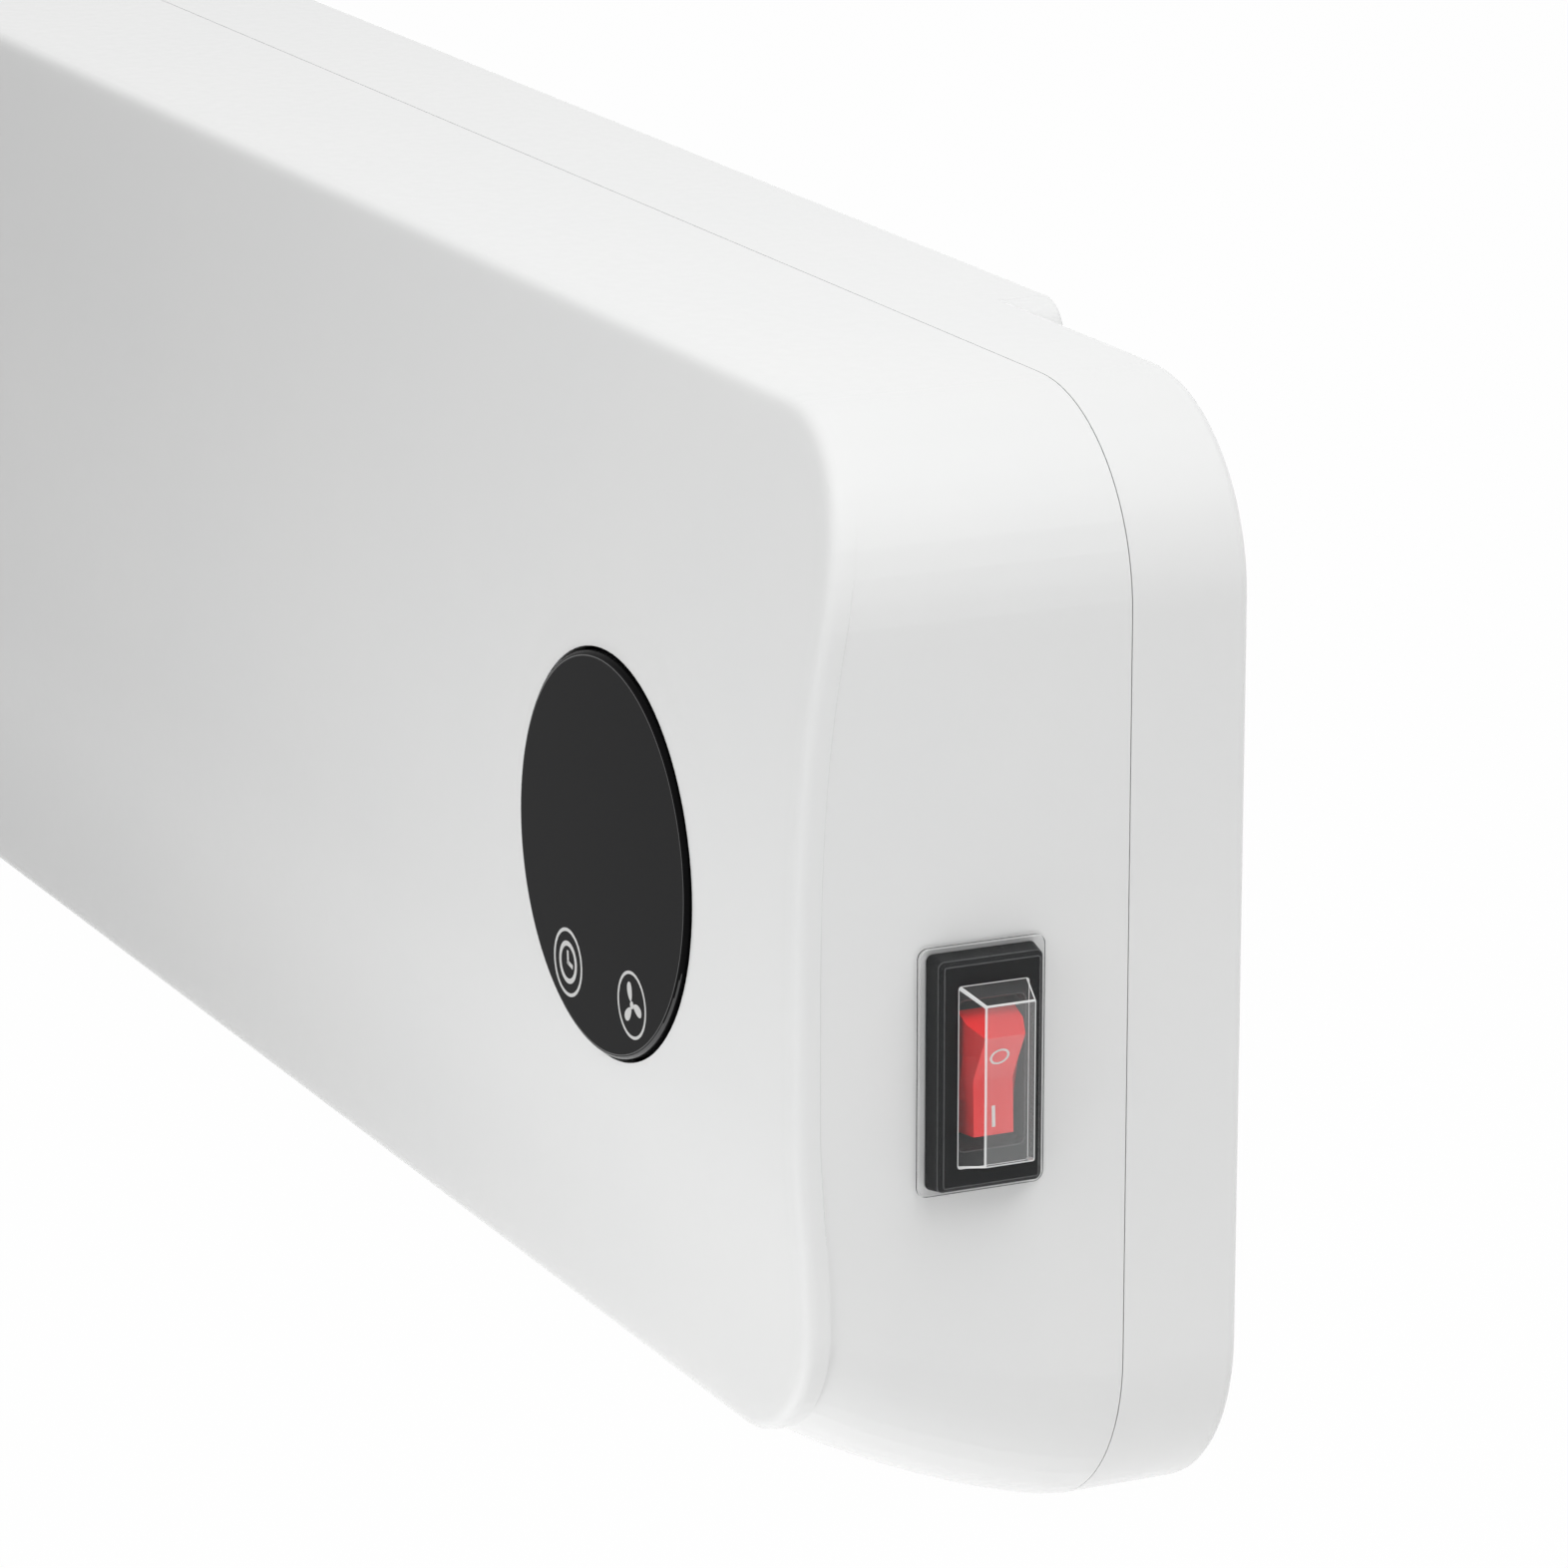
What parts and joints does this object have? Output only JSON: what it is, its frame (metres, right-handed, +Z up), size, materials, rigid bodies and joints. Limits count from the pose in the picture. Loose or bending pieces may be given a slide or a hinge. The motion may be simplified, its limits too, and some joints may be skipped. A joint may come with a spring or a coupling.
{
  "type": "wall fan heater",
  "caption": "Wall-hung bathroom fan heater: rounded white case, round touch display, covered end switch, vane outlet below and grille behind.",
  "frame": {"origin": "middle of the back of the raised hanging block, on the wall plane", "axes": "+Z up, +Y into the wall, +X along the case towards the end with the switch"},
  "size_m": [0.5515, 0.093, 0.199],
  "materials": {
    "white_abs": "glossy moulded ABS",
    "grey_pbt": "matt grey moulded PBT",
    "black_glass": "black-backed glass",
    "black_plastic": "black nylon",
    "digit_plastic": "smoked digit module",
    "clear_pvc": "clear flexible PVC",
    "red_acrylic": "red translucent polycarbonate",
    "steel": "zinc-plated steel",
    "laminations": "laminated electrical steel",
    "copper": "enamelled copper winding",
    "brass": "brass",
    "aluminium": "bare aluminium",
    "rubber": "matt black rubber",
    "fibre_board": "green circuit board",
    "relay_blue": "blue relay case",
    "capacitor_yellow": "film capacitor case",
    "module_black": "potted power module",
    "terminal_green": "green terminal block",
    "holder_dark": "heat-resistant moulding"
  },
  "bodies": {
    "heater": {"front_housing": "white_abs", "rear_housing": "white_abs", "intake_grille": "white_abs", "case_screw_1": "steel", "case_screw_2": "steel", "case_screw_3": "steel", "case_screw_4": "steel", "standoff_pad_left": "rubber", "standoff_pad_right": "rubber", "cable_gland": "rubber", "display_glass": "black_glass", "display_digits": "digit_plastic", "display_board": "fibre_board", "touch_contact_timer": "steel", "touch_contact_mode": "steel", "infrared_receiver": "black_plastic", "switch_cover": "clear_pvc", "switch_body": "black_plastic", "switch_terminal_1": "brass", "switch_terminal_2": "brass", "air_guide_front": "grey_pbt", "air_guide_rear": "grey_pbt", "duct_end_left": "grey_pbt", "duct_end_right": "grey_pbt", "louvre_motor": "steel", "bearing_bush": "brass", "bearing_mount": "rubber", "motor_stator": "laminations", "motor_coil": "copper", "motor_bracket_inner": "steel", "motor_bracket_outer": "steel", "heating_element_front": "aluminium", "heating_element_rear": "aluminium", "element_holder_left": "holder_dark", "element_holder_right": "holder_dark", "thermal_cutout": "holder_dark", "thermal_fuse": "steel", "control_board": "fibre_board", "relay_1": "relay_blue", "relay_2": "relay_blue", "capacitor": "capacitor_yellow", "power_module": "module_black", "terminal_block": "terminal_green", "board_screw_1": "steel", "board_screw_2": "steel"},
    "fan": {"fan_impeller": "black_plastic", "left_stub_shaft": "steel", "motor_shaft": "steel", "motor_rotor": "laminations"},
    "louvre": {"louvre_vane": "white_abs", "louvre_shaft": "steel"},
    "rocker": {"switch_rocker": "red_acrylic"}
  },
  "joints": [
    {"name": "fan_spin", "type": "hinge", "parent": "heater", "child": "fan", "pos_m": [0, -0.0486, -0.072], "axis": [1, 0, 0], "continuous": true},
    {"name": "louvre_swing", "type": "hinge", "parent": "heater", "child": "louvre", "pos_m": [0, -0.0616, -0.148], "axis": [-1, 0, 0], "range_deg": [0, 70]},
    {"name": "switch_rock", "type": "hinge", "parent": "heater", "child": "rocker", "pos_m": [0.271, -0.0578, -0.0865], "axis": [0, -1, 0], "range_deg": [0, 25]}
  ]
}
